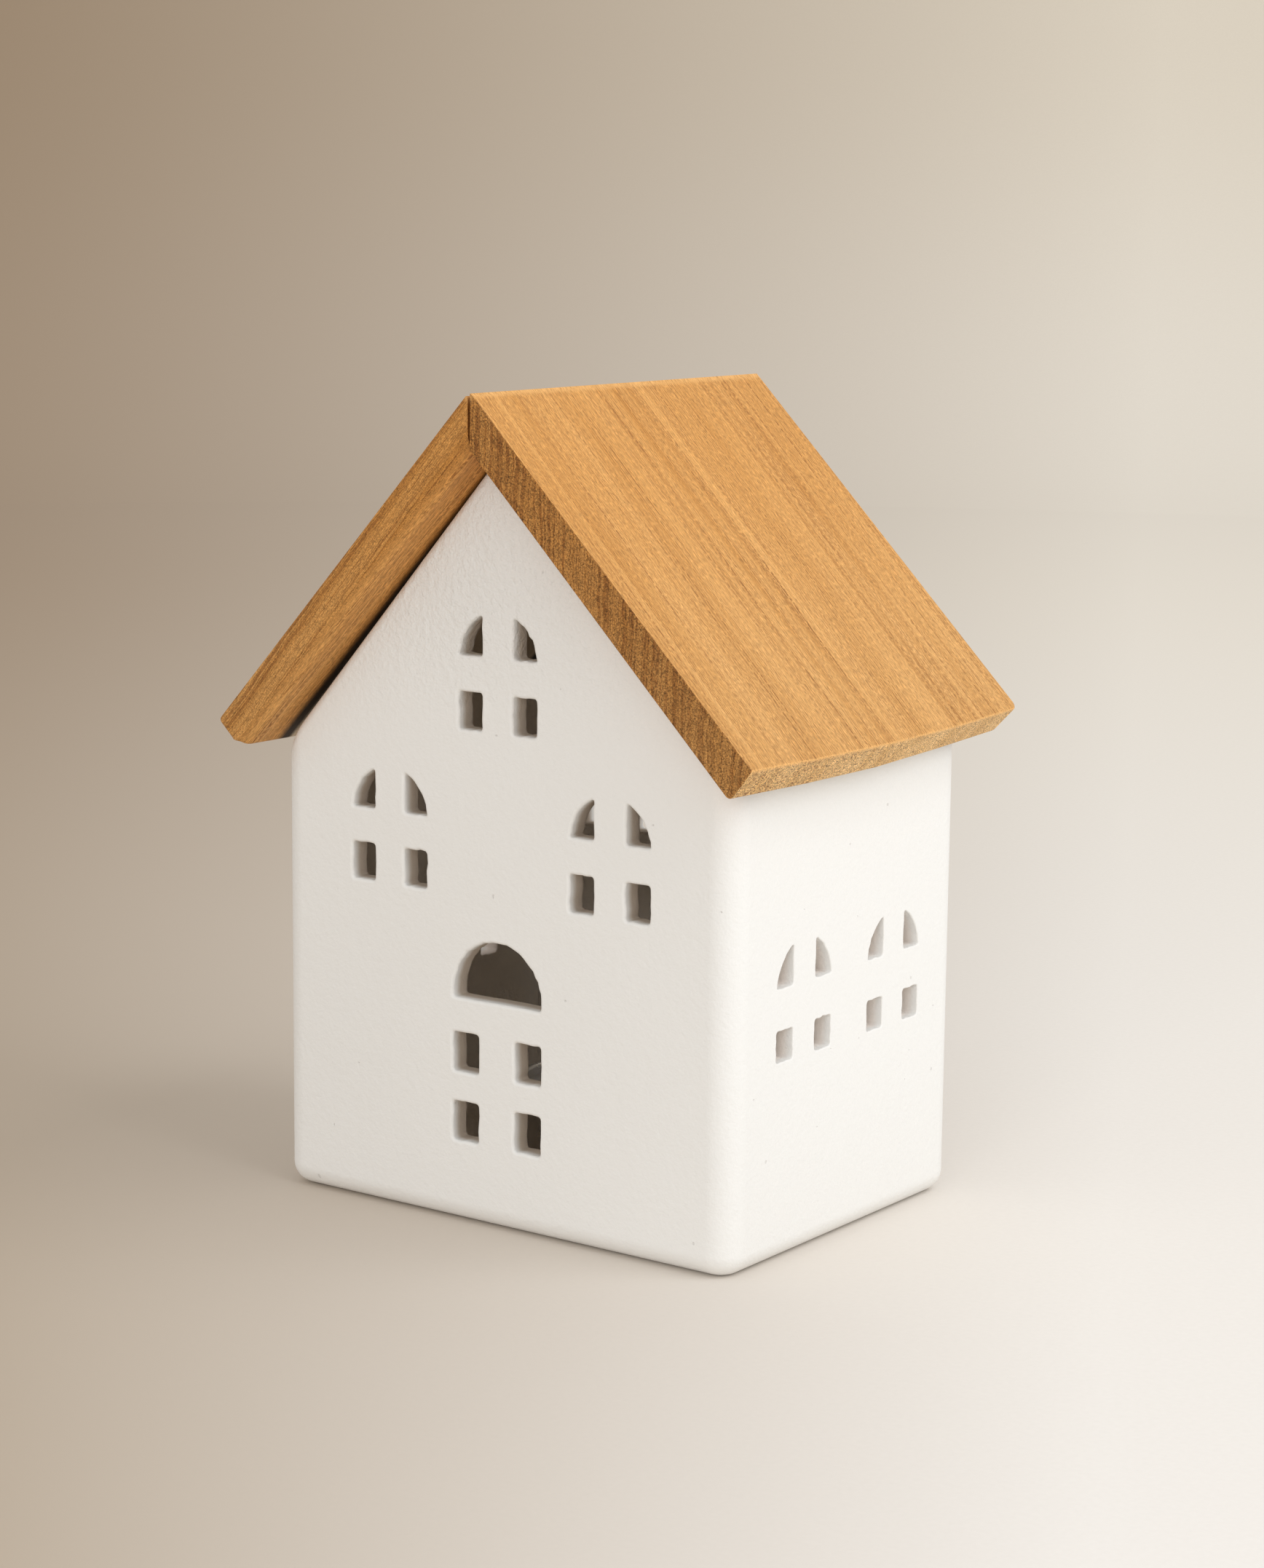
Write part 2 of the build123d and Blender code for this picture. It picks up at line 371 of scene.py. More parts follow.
    depth = 0.5
    for value, amount in ((cloud, wood["clouds"]), (medium, wood["bands"])):
        depth = calc(tree, "ADD", depth, swing(value, amount))
    streak = times(swing(fine, wood["streaks"]), broken)
    stripe = times(swing(fine, wood["stripes"]), onSide)
    depth = calc(tree, "ADD", calc(tree, "ADD", depth, streak), stripe)
    depth = newNode(tree, "Clamp", {0: depth}).outputs[0]
    colour = blend(tree, depth, given["Pale"], given["Deep"])
    towardEave = ramp(tree, along[0], 14.0, 80.0)  # paler towards the eave
    colour = blend(tree, towardEave, colour, tinted(colour, wood["eaveTint"]))
    colour = blend(tree, onSide, colour, tinted(colour, given["Side Tint"]))
    colour = blend(tree, onEnd, colour, tinted(colour, given["End Tint"]))
    onTop = calc(tree, "SUBTRACT", 1.0, calc(tree, "MAXIMUM", onSide, onEnd))
    sideLines = times(lines(late, 0.54, 0.075), onSide, calc(tree, "MULTIPLY_ADD", broken, 0.6, 0.4))
    marks = {
        "strings": times(strings, onTop), "threads": times(threads, onTop), "pores": pores,
        "sideLines": sideLines, "endPores": times(coarse, onEnd, endPores), "mitre": onMitre,
    }
    for name, mark in marks.items():
        colour = blend(tree, times(mark, wood[name]), colour, tinted(colour, given["Line"]))
    force = calc(tree, "MULTIPLY_ADD", gritty, wood["tooth"], wood["tooth"])
    bright = calc(tree, "ADD", 1.0, calc(tree, "MULTIPLY", swing(tooth, 1.0), force))
    colour = newNode(tree, "VectorMath", {0: colour, "Scale": bright}, operation="SCALE").outputs[0]

    # painted shade, nearly black, where the board lies on the gable walls
    colour = blend(tree, times(paintedSeatShadeMask, 0.96), colour, wood["paintedSeatShade"])
    colour = blend(tree, bare, colour, blend(tree, fine, wood["barePale"], wood["bareDeep"]))

    # sanded pale along the eave and the ridge
    eaveWear = times(ramp(tree, facing[0], 0.1, 0.5), ramp(tree, along[2], -0.8, -0.15))
    ridgeWear = times(ramp(tree, along[0], 2.2, 0.8), ramp(tree, along[2], -1.9, -0.3))
    wear = times(calc(tree, "MAXIMUM", eaveWear, ridgeWear), ramp(tree, fibre, 0.25, 0.6))
    colour = blend(tree, times(wear, wood["worn"]), colour, tinted(given["Pale"], wood["wornTint"]))
    tree.links.new(colour, result["Color"])
    tree.links.new(calc(tree, "MULTIPLY_ADD", depth, 0.12, 0.50), result["Roughness"])
    height = calc(tree, "SUBTRACT", times(tooth, 0.6), times(pores, 0.5))
    height = calc(tree, "SUBTRACT", height, times(coarse, onEnd))
    tree.links.new(height, result["Height"])
    return tree


woodGrain = woodGrainGroup()


def woodMaterial(name, place, plan, seat):
    material, tree, shader = newMaterial(name)
    coords = tree.nodes.new("ShaderNodeTexCoord").outputs
    placed = newNode(tree, "Mapping", {"Vector": coords["Object"], **place}).outputs[0]
    turned = {"Rotation": place["Rotation"], "Scale": place["Scale"]}
    facing = newNode(tree, "Mapping", {"Vector": coords["Normal"], **turned}).outputs[0]
    made = useGroup(tree, woodGrain, {
        "Place": placed, "Facing": facing, "Seat": seat,
        "Across Rings": plan["rings"], "Side Rings": plan["sideRings"], "Side Grit": plan["sideGrit"],
        "Pale": wood["pale"], "Deep": wood["deep"], "Line": wood["line"],
        "Side Tint": plan["sideTint"], "End Tint": plan["endTint"]})
    tree.links.new(made["Color"], shader.inputs["Base Color"])
    tree.links.new(made["Roughness"], shader.inputs["Roughness"])
    shader.inputs["Specular IOR Level"].default_value = wood["specular"]
    finishBump(tree, shader, made["Height"], 0.5, wood["bumpDepth"])
    return material


# Bisque: white slip outside, painted shade in the inner part of the pane jambs, pale buff inside

bisque = {
    "white": (0.86, 0.845, 0.815, 1), "shade": (0.82, 0.80, 0.765, 1), "pit": (0.50, 0.46, 0.42, 1),
    # painted jamb shade, darker towards the chamber; a paler one for the side walls' jambs
    "paintedJambShade": (0.58, 0.49, 0.40, 1), "paintedSideJambShade": (0.96, 0.885, 0.82, 1),
    "buff": (0.95, 0.87, 0.77, 1), "buffShade": (0.92, 0.83, 0.72, 1),
    "grainDepth": 0.34 * mm, "roughFrom": 84 * mm, "roughTo": 118 * mm,  # the gable is rougher
    "driftShare": 0.35, "pitShare": 0.35, "specular": 0.2, "bump": 0.7,
    "waveHeight": 1.3, "lumpHeight": 1.5, "grainHeight": 1.1, "pitDepth": 0.5,
    "jambShadeFrom": 3.9 * mm, "jambShadeTo": 2.0 * mm, "buffFrom": 0.5 * mm,  # from the chamber wall outwards
    "cornerFrom": -3.0 * mm, "cornerTo": -0.8 * mm,  # no painted jamb shade on the rounded upright corners
}


def bisqueMaterial(inner, floor):  # inner is half the chamber's width and depth
    material, tree, shader = newMaterial("whiteBisque")
    place = tree.nodes.new("ShaderNodeTexCoord").outputs["Object"]
    grain = noise(tree, place, scale=2300, detail=3.0, rough=0.6)
    lumps = noise(tree, place, scale=900, detail=1.0)
    waves = noise(tree, place, scale=230, detail=2.0)
    drift = noise(tree, place, scale=28, detail=2.0)
    pits = ramp(tree, noise(tree, place, scale=760, detail=0.0), 0.875, 0.89)
    parts = newNode(tree, "SeparateXYZ", {0: vectorCalc(tree, "ABSOLUTE", place)}).outputs
    # painted shade over the inner part of each wall's thickness; buff inside the chamber
    paintedJambShade = buff = ramp(tree, parts[2], floor * 0.4, floor * 0.8)
    for part, reach in zip(parts, inner):
        within = ramp(tree, part, reach + bisque["jambShadeFrom"], reach + bisque["jambShadeTo"])
        paintedJambShade = calc(tree, "MULTIPLY", paintedJambShade, within)
        buff = calc(tree, "MULTIPLY", buff, ramp(tree, part, reach + bisque["buffFrom"], reach))
    past = [calc(tree, "SUBTRACT", part, reach) for part, reach in zip(parts, inner)]
    beside = ramp(tree, calc(tree, "MINIMUM", *past), bisque["cornerTo"], bisque["cornerFrom"])
    paintedJambShade = calc(tree, "MULTIPLY", paintedJambShade, beside)
    drifted = calc(tree, "MULTIPLY", drift, bisque["driftShare"])
    colour = blend(tree, drifted, bisque["white"], bisque["shade"])
    colour = blend(tree, calc(tree, "MULTIPLY", pits, bisque["pitShare"]), colour, bisque["pit"])
    inSide = ramp(tree, past[0], -bisque["buffFrom"], bisque["buffFrom"])
    # painted jamb shade, paler in the side walls
    colour = blend(tree, paintedJambShade, colour, blend(tree, inSide, bisque["paintedJambShade"], bisque["paintedSideJambShade"]))
    colour = blend(tree, buff, colour, blend(tree, drift, bisque["buff"], bisque["buffShade"]))
    tree.links.new(colour, shader.inputs["Base Color"])
    tree.links.new(calc(tree, "MULTIPLY_ADD", grain, 0.10, 0.82), shader.inputs["Roughness"])
    shader.inputs["Specular IOR Level"].default_value = bisque["specular"]
    rough = ramp(tree, parts[2], bisque["roughFrom"], bisque["roughTo"], 0.22, 1.0)
    height = calc(tree, "MULTIPLY", grain, bisque["grainHeight"])
    height = calc(tree, "MULTIPLY_ADD", lumps, bisque["lumpHeight"], height)
    height = calc(tree, "MULTIPLY_ADD", waves, bisque["waveHeight"], height)
    height = calc(tree, "MULTIPLY", height, rough)
    height = calc(tree, "SUBTRACT", height, calc(tree, "MULTIPLY", pits, bisque["pitDepth"]))
    finishBump(tree, shader, height, bisque["bump"], bisque["grainDepth"])
    return material


# Roof settings stand first, because each gable slope follows its board

roof = {
    "thickness": 7.0, "mitreGap": 0.14, "frontGap": 0.34, "backShort": 0.5, "backCorner": 1.5,
    "arris": 0.22, "seat": -36.5,
    "right": {
        "pitch": 45.0, "ridge": 148.4, "length": 82.0, "frontReach": 0.8,
        "bows": (0.0, 0.75, 1.15, 1.0, 0.3), "slants": (0.8, 1.5, 1.8, 1.2, 0.4),
        "topRound": 0.35, "lowerFront": 0.0, "eaveBottom": 1.2,
        "grainShift": 0, "rings": (0.03, 0.98, 0.15), "sideRings": (0.46, 0.0, 0.44), "sideGrit": 0.8,
        "sideTint": (0.605, 0.56, 0.50, 1), "endTint": (1.02, 1.20, 1.50, 1),
    },
    "left": {
        "pitch": 46.7, "ridge": 148.2, "length": 84.2, "frontReach": 0.0,
        "bows": (0.0, 0.2, 0.3, 0.2, 0.0), "slants": (0.0, 0.2, 0.3, 0.2, 0.0),
        "topRound": 0.8, "lowerFront": 2.8, "eaveBottom": 1.2,
        "grainShift": 260, "rings": (0.04, 0.72, 0.69), "sideRings": (0.03, 0.0, 1.0), "sideGrit": 0.55,
        "sideTint": (0.82, 0.79, 0.74, 1), "endTint": (1.02, 1.20, 1.50, 1),
    },
    "gableEase": (1.5, 0.2),  # degrees that the left gable falls away from its board, front and back
}


# House body, cast hollow with its panes cut through while soft

house = {
    "gableHeight": 137.8, "wall": 4.5, "floor": 5.0, "corner": 5.0, "tip": 3.0, "rim": 2.475, "foot": 4.0,
    "innerCorner": 3.0, "innerFloor": 2.4, "landRise": 2.0, "paneEdge": 0.62, "sidePaneEdge": 0.28,
}

panes = {
    "windowWidth": 17.0, "mullion": 6.8, "archDrop": 0.6, "corner": 0.6, "ragged": 0.18, "overrun": 2.0,
    "front": {"height": 6.7, "transom": 6.4}, "side": {"height": 5.6, "transom": 7.4},
    "frontWindows": ((0.0, 89.14), (-24.3, 59.70), (24.3, 59.70)),  # middle of each sill
    "rightWindows": ((-14.38, 35.54), (14.38, 35.54)),
    "leftWindows": ((-13.18, 34.04), (15.58, 34.04)),  # cut a little lower, as seen through the fanlight
    "doorWidth": 19.5, "doorMullion": 8.05, "doorHeight": 7.15, "doorSill": 15.1, "doorRail": 5.45,
    "fanRail": 6.3, "fanStilt": 1.1,
}


def sheet(kind, centre, width, height):  # a flat square or round blank in the plane of the front wall
    deselect()
    stand = {"location": (centre[0], 0, centre[1]), "rotation": (math.pi / 2, 0, 0)}
    if kind == "square":
        bpy.ops.mesh.primitive_plane_add(size=1, **stand)
    else:
        bpy.ops.mesh.primitive_circle_add(radius=0.5, vertices=60, fill_type="NGON", **stand)
    pane = bpy.context.object
    pane.scale = (width, height, 1)
    bpy.ops.object.transform_apply(location=True, rotation=True, scale=True)
    edit(pane)
    return pane


def trim(point, normal):
    bpy.ops.mesh.select_all(action="SELECT")
    bpy.ops.mesh.bisect(plane_co=point, plane_no=normal, clear_outer=True)


# corners eased, long edges broken up and shaken, then pushed through the wall
def press(pane, near, far, seed):
    choose(pane, "verts", lambda vert: vert.calc_edge_angle(0) > 0.5)
    bpy.ops.mesh.bevel(offset=panes["corner"] * mm, segments=3, profile=0.5, affect="VERTICES")
    choose(pane, "edges", lambda edge: edge.calc_length() > 1.6 * mm)
    bpy.ops.mesh.subdivide(number_cuts=3)
    choose(pane, "verts", lambda vert: min(edge.calc_length() for edge in vert.link_edges) > 0.4 * mm)
    bpy.ops.transform.vertex_random(offset=panes["ragged"] * mm, uniform=0.3, seed=seed)
    chooseAll(pane)
    bpy.ops.transform.resize(value=(1, 0, 1), center_override=(0, 0, 0))
    bpy.ops.transform.translate(value=(0, near, 0))
    bpy.ops.mesh.extrude_region_move(TRANSFORM_OT_translate={"value": (0, far - near, 0)})
    chooseAll(pane)
    bpy.ops.mesh.normals_make_consistent(inside=False)
    bpy.ops.object.mode_set(mode="OBJECT")


def squarePane(left, right, low, high):
    centre = ((left + right) / 2 * mm, (low + high) / 2 * mm)
    return sheet("square", centre, (right - left) * mm, (high - low) * mm)


def archPane(side, middleX, archFloor):  # one half of the arched top, right (1) or left (-1) of the mullion
    width = panes["windowWidth"] * mm
    pane = sheet("round", (middleX * mm, (archFloor - panes["archDrop"]) * mm), width, width)
    trim((0, 0, archFloor * mm), (0, 0, -1))
    trim(((middleX + side * panes["mullion"] / 2) * mm, 0, 0), (-side, 0, 0))
    return pane


def windowPanes(middleX, sill, sizes):
    half, bar = panes["windowWidth"] / 2, panes["mullion"] / 2
    top = sill + sizes["height"]
    made = []
    for side in (-1, 1):
        left, right = sorted((middleX + side * bar, middleX + side * half))
        made.append(squarePane(left, right, sill, top))
        made.append(archPane(side, middleX, top + sizes["transom"]))
    return made


def doorPanes():
    half, bar = panes["doorWidth"] / 2, panes["doorMullion"] / 2
    made = []
    sill = panes["doorSill"]
    for row in range(2):
        top = sill + panes["doorHeight"]
        made += [squarePane(-half, -bar, sill, top), squarePane(bar, half, sill, top)]
        sill = top + panes["doorRail"]
    spring = top + panes["fanRail"] + panes["fanStilt"]
    fan = sheet("round", (0, spring * mm), 2 * half * mm, 2 * half * mm)
    trim((0, 0, spring * mm), (0, 0, -1))
    choose(fan, "edges", lambda edge: runsAlong(edge, 0) and edge.calc_length() > half * mm)
    bpy.ops.mesh.extrude_region_move(TRANSFORM_OT_translate={"value": (0, 0, -panes["fanStilt"] * mm)})
    choose(fan, "edges", lambda edge: len(edge.link_faces) == 2)
    bpy.ops.mesh.dissolve_edges(use_verts=True)
    return made + [fan]


def turn(pieces, angle):  # about the upright axis of the house
    for piece in pieces:
        activate(piece)
        piece.rotation_euler = (0, 0, math.radians(angle))
        bpy.ops.object.transform_apply(location=True, rotation=True, scale=True)


def modelHouse():
    low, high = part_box("house_body")
    top, wall, rise = house["gableHeight"] * mm, house["wall"] * mm, house["landRise"] * mm
    shoulder = top - high.x * math.tan(math.radians(roof["right"]["pitch"]))
    leftDrops = []  # how much lower the left shoulder is, front and back
    for ease in roof["gableEase"]:
        leftShoulder = top - high.x * math.tan(math.radians(roof["left"]["pitch"] + ease))
        leftDrops.append(leftShoulder - shoulder)
    body = addBlock("houseBody", (low.x, low.y, 0), (high.x, high.y, shoulder))
    edit(body)
    bpy.ops.mesh.select_all(action="SELECT")
    bpy.ops.mesh.bisect(plane_co=(0, 0, 0), plane_no=(1, 0, 0))
    choose(body, "verts", lambda vert: abs(vert.co.x) < 1e-6 and vert.co.z > shoulder / 2)
    bpy.ops.transform.translate(value=(0, 0, top - shoulder))
    for end, drop in zip((low.y, high.y), leftDrops):
        choose(body, "verts", lambda vert: vert.co.x < low.x / 2 and vert.co.z > shoulder / 2
               and abs(vert.co.y - end) < 1e-6)
        bpy.ops.transform.translate(value=(0, 0, drop))
    choose(body, "edges", lambda edge: abs(middle(edge).x) < 1e-6 and middle(edge).z < top - 1e-6)
    bpy.ops.mesh.dissolve_edges(use_verts=True)
    choose(body, "edges", lambda edge: runsAlong(edge, 2))
    roundOff(house["corner"] * mm, 8)
    choose(body, "edges", lambda edge: runsAlong(edge, 1) and middle(edge).z > top - 1e-6)
    roundOff(house["tip"] * mm, 8)

    def onRim(edge):
        slopes = sorted(face.normal.z for face in edge.link_faces)
        return len(slopes) == 2 and abs(slopes[0]) < 0.01 and slopes[1] > 0.3

    choose(body, "edges", onRim)
    roundOff(house["rim"] * mm, 6)
    choose(body, "edges", lambda edge: max(vert.co.z for vert in edge.verts) < 1e-6
           and any(face.normal.z > -0.5 for face in edge.link_faces))
    roundOff(house["foot"] * mm, 7)

    # candle chamber, then the flat land along the side walls
    chamber = addBlock("chamber", (low.x + wall, low.y + wall, house["floor"] * mm),
                       (high.x - wall, high.y - wall, top + rise))
    edit(chamber)
    choose(chamber, "edges", lambda edge: runsAlong(edge, 2))
    roundOff(house["innerCorner"] * mm, 6)
    choose(chamber, "edges", lambda edge: max(vert.co.z for vert in edge.verts)
           < house["floor"] * mm + 1e-6)
    roundOff(house["innerFloor"] * mm, 4)
    cut(body, [chamber])
    lands, levels = [], []
    inset = high.x - wall - 0.96 * house["innerCorner"] * mm  # just past the inner corner's arc
    for side, drop in ((-1, leftDrops[1]), (1, 0)):
        near, far = sorted((side * inset, side * (high.x + wall)))
        levels.append(shoulder + drop + rise)
        lands.append(addBlock("land", (near, low.y + wall, levels[-1]), (far, high.y - wall, top + rise)))
    cut(body, lands)

    # panes, each wall with its own hand
    over = panes["overrun"] * mm
    cutters = []
    for angle, reach, windows, sizes, door in (
            (0, high.y, panes["frontWindows"], panes["front"], True),
            (180, high.y, panes["frontWindows"], panes["front"], True),
            (90, high.x, panes["rightWindows"], panes["side"], False),
            (270, high.x, panes["leftWindows"], panes["side"], False)):
        made = [pane for place in windows for pane in windowPanes(*place, sizes)]
        if door:
            made += doorPanes()
        for pane in made:
            edit(pane)
            press(pane, -reach - over, -reach + wall + over, len(cutters) + made.index(pane))
        turn(made, angle)
        cutters += made
    print("panes to cut:", len(cutters))
    cut(body, cutters)
    outward(body)

    # the hand-smoothed edges of the panes and of the open top
    def softEdge(edge):
        if not edge.is_convex or edge.calc_face_angle(0) < math.radians(50):
            return False
        at = middle(edge)
        if not runsAlong(edge, 1) and any(abs(at.z - level) < 0.05 * mm for level in levels):
            return False
        throughFront = runsAlong(edge, 1) and abs(at.y) > high.y - wall + 0.1 * mm
        throughSide = runsAlong(edge, 0) and abs(at.x) > high.x - wall + 0.1 * mm and at.z < shoulder
        return not (throughFront or throughSide)

    def inSideWall(edge):
        return abs(middle(edge).x) > high.x - wall - 0.1 * mm and middle(edge).z < shoulder

    edit(body)
    choose(body, "edges", lambda edge: softEdge(edge) and not inSideWall(edge))
    roundOff(house["paneEdge"] * mm, 3)
    choose(body, "edges", lambda edge: softEdge(edge) and inSideWall(edge))
    roundOff(house["sidePaneEdge"] * mm, 3)
    bpy.ops.object.mode_set(mode="OBJECT")
    outward(body)
    shade(body, 35)
    modify(body, "WEIGHTED_NORMAL", keep_sharp=True, weight=60)
    material = bisqueMaterial((high.x - wall, high.y - wall), house["floor"] * mm)
    settle(body, "house", "house_body", "bisque", material)


modelHouse()
print("house body modelled")


# Roof boards, mitred at the ridge; the left one is set a little steeper, as hand-fitted roofs are

def boardPlace(side, plan):  # board coordinates, with another stretch of grain for each board
    pitch, ridge = math.radians(plan["pitch"]), plan["ridge"] * mm
    return {"Location": (ridge * math.sin(pitch), plan["grainShift"] * mm, -ridge * math.cos(pitch)),
            "Rotation": (0, -pitch, 0), "Scale": (side, 1, 1)}


def modelBoard(name, node, side, plan, materialName):
    low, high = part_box(node)
    thick, length, pitch = roof["thickness"] * mm, plan["length"] * mm, math.radians(plan["pitch"])
    corner = roof["backCorner"] * mm
    front, back = low.y, high.y - roof["backShort"] * mm
    board = addBlock(name, (0, front, -thick), (length, back, 0))  # flat, fibres along X
    edit(board)
    slide(board, lambda at: at.x < length / 2, roof["mitreGap"] * mm / 2 / math.cos(pitch))
    slide(board, lambda at: at.x < length / 2 and at.y < 0, roof["frontGap"] * mm / 2 / math.cos(pitch))
    slide(board, lambda at: at.x < length / 2 and at.z < -thick / 2, thick * math.tan(pitch))
    slide(board, lambda at: at.x > length / 2 and at.y < 0, plan["frontReach"] * mm)

    # the eave end was sawn by eye: it bows out, and runs out further underneath
    steps = len(plan["bows"]) - 1
    choose(board, "edges", lambda edge: runsAlong(edge, 1, 0.9) and middle(edge).x > length / 2)
    bpy.ops.mesh.subdivide(number_cuts=steps - 1)
    for step, (bow, slant) in enumerate(zip(plan["bows"], plan["slants"])):
        across = front + (back - front) * step / steps
        for run, upper in ((bow, True), (slant, False)):
            slide(board, lambda at: at.x > length / 2 and abs(at.y - across) < 1 * mm
                  and (at.z > -thick / 2) == upper, run * mm)

    # back corner, then the sanded edges: front underneath, round the top, and the eave underneath
    choose(board, "edges", lambda edge: runsAlong(edge, 2, 0.9) and middle(edge).x > length / 2
           and middle(edge).y > 0)
    roundOff(corner, 7)
    if plan["lowerFront"]:
        choose(board, "edges", lambda edge: all(vert.co.y < front + 1e-6 and vert.co.z < 1e-6 - thick
                                                for vert in edge.verts))
        roundOff(plan["lowerFront"] * mm, 6)
    choose(board, "edges", lambda edge: all(vert.co.z > -1e-6 for vert in edge.verts)
           and any(vert.co.y > front + 1e-6 for vert in edge.verts))
    roundOff(plan["topRound"] * mm, 5)
    choose(board, "edges", lambda edge: middle(edge).x > length - corner - 1e-6
           and middle(edge).z < -thick / 2 and not runsAlong(edge, 0) and not runsAlong(edge, 2, 0.9))
    roundOff(plan["eaveBottom"] * mm, 6)
    choose(board, "edges", lambda edge: middle(edge).x > 2 * thick
           and edge.calc_face_angle(0) > math.radians(40))
    roundOff(roof["arris"] * mm, 2)
    bpy.ops.object.mode_set(mode="OBJECT")

    board.location = (0, 0, plan["ridge"] * mm)
    board.rotation_euler = (0, pitch, 0)
    activate(board)
    bpy.ops.object.transform_apply(location=True, rotation=True, scale=True)
    if side < 0:
        edit(board)
        chooseAll(board)
        bpy.ops.transform.resize(value=(-1, 1, 1), center_override=(0, 0, 0))
    outward(board)
    shade(board, 35)
    modify(board, "WEIGHTED_NORMAL", keep_sharp=True, weight=80)
    material = woodMaterial(materialName, boardPlace(side, plan), plan, roof["seat"] + plan["grainShift"])
    settle(board, "roof", node, "roof_wood", material)


modelBoard("roofBoardRight", "roof_board_right", 1, roof["right"], "roofWoodRight")
modelBoard("roofBoardLeft", "roof_board_left", -1, roof["left"], "roofWoodLeft")
print("roof boards modelled")


# Block glued under the mitre

block = {
    "topWidth": 3.0, "arris": 0.5, "ease": 0.3,
    "seat": 2000.0,  # out of reach, so no painted seat shade shows on the block
    "rings": (0.02, 0.6, 0.8), "sideRings": (0.02, 0.0, 0.9), "sideGrit": 0.5,
    "sideTint": (0.85, 0.82, 0.78, 1), "endTint": (0.8, 0.78, 0.75, 1),
}


def modelBlock():
    low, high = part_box("ridge_block")
    piece = addBlock("ridgeBlock", low, high)
    edit(piece)
    for side in (-1, 1):
        cutAway((side * block["topWidth"] / 2 * mm, 0, high.z), (side, 0, 1))
    choose(piece, "edges", lambda edge: runsAlong(edge, 1) and middle(edge).z < low.z + 1e-6)
    roundOff(block["arris"] * mm, 3)
    bpy.ops.object.mode_set(mode="OBJECT")
    outward(piece)
    modify(piece, "BEVEL", width=block["ease"] * mm, segments=2,
           limit_method="ANGLE", angle_limit=math.radians(40))
    shade(piece, 35)
    place = {"Location": (0.5, 0, -high.z), "Rotation": (0, 0, math.radians(-90)), "Scale": (1, 1, 1)}
    material = woodMaterial("ridgeBlockWood", place, block, block["seat"])
    settle(piece, "roof", "ridge_block", "roof_wood", material)


modelBlock()
print("ridge block modelled")


# Tealight

tealight = {
    "sides": 120, "wall": 0.4, "rim": 0.8, "foot": 1.2, "flute": 0.12,
    "meniscus": 0.45, "collar": 0.35, "wickLoops": 26, "wickTwist": 38.0, "wickOval": 0.74, "tipLean": 0.25,
}


def turnUp(piece, path):  # carries the selected ring of edges through a list of radius and height
    ring = [vert.co for vert in bmesh.from_edit_mesh(piece.data).verts if vert.select]
    radius, height = math.hypot(ring[0].x, ring[0].y), ring[0].z
    for newRadius, newHeight in path:
        bpy.ops.mesh.extrude_region_move(TRANSFORM_OT_translate={"value": (0, 0, newHeight - height)})
        bpy.ops.transform.resize(value=(newRadius / radius, newRadius / radius, 1), center_override=(0, 0, 0))
        radius, height = newRadius, newHeight


def startRing(name, radius, height, sides):
    deselect()
    bpy.ops.mesh.primitive_circle_add(vertices=sides, radius=radius, location=(0, 0, height))
    piece = bpy.context.object
    bpy.ops.object.transform_apply(location=True, rotation=True, scale=True)
    piece.name = piece.data.name = name
    edit(piece)
    chooseAll(piece)
    return piece


def closeRings(piece):  # caps every open ring
    choose(piece, "edges", lambda edge: len(edge.link_faces) == 1)
    bpy.ops.mesh.edge_face_add()


def aluminiumMaterial():
    material, tree, shader = newMaterial("pressedAluminium")
    place = tree.nodes.new("ShaderNodeTexCoord").outputs["Object"]
    drawn = noise(tree, vectorCalc(tree, "MULTIPLY", place, (2200, 2200, 90)), detail=2.0)
    scuff = noise(tree, place, scale=160, detail=4.0, rough=0.65)
    colour = blend(tree, scuff, (0.84, 0.84, 0.85, 1), (0.72, 0.72, 0.73, 1))
    tree.links.new(colour, shader.inputs["Base Color"])
    shader.inputs["Metallic"].default_value = 1.0
    tree.links.new(ramp(tree, scuff, 0.3, 0.75, 0.24, 0.42), shader.inputs["Roughness"])
    finishBump(tree, shader, drawn, 0.35, 0.05 * mm)
    return material


def waxMaterial():
    material, tree, shader = newMaterial("candleWax")
    place = tree.nodes.new("ShaderNodeTexCoord").outputs["Object"]
    frost = noise(tree, place, scale=240, detail=4.0, rough=0.6)
    pool = noise(tree, place, scale=45, detail=2.0)
    colour = blend(tree, pool, (0.90, 0.885, 0.83, 1), (0.83, 0.80, 0.72, 1))
    tree.links.new(colour, shader.inputs["Base Color"])
    tree.links.new(ramp(tree, frost, 0.3, 0.7, 0.32, 0.5), shader.inputs["Roughness"])
    shader.inputs["Subsurface Weight"].default_value = 0.35
    shader.inputs["Subsurface Radius"].default_value = (1.0, 0.8, 0.5)
    shader.inputs["Subsurface Scale"].default_value = 2.5 * mm
    finishBump(tree, shader, frost, 0.3, 0.12 * mm)
    return material


def cottonMaterial():
    material, tree, shader = newMaterial("wickCotton")
    place = tree.nodes.new("ShaderNodeTexCoord").outputs["Object"]
    fibre = noise(tree, vectorCalc(tree, "MULTIPLY", place, (5200, 5200, 1500)), detail=3.0)
    colour = blend(tree, fibre, (0.84, 0.80, 0.72, 1), (0.66, 0.61, 0.52, 1))
    tree.links.new(colour, shader.inputs["Base Color"])
    shader.inputs["Roughness"].default_value = 0.85
    finishBump(tree, shader, fibre, 0.6, 0.1 * mm)
    return material


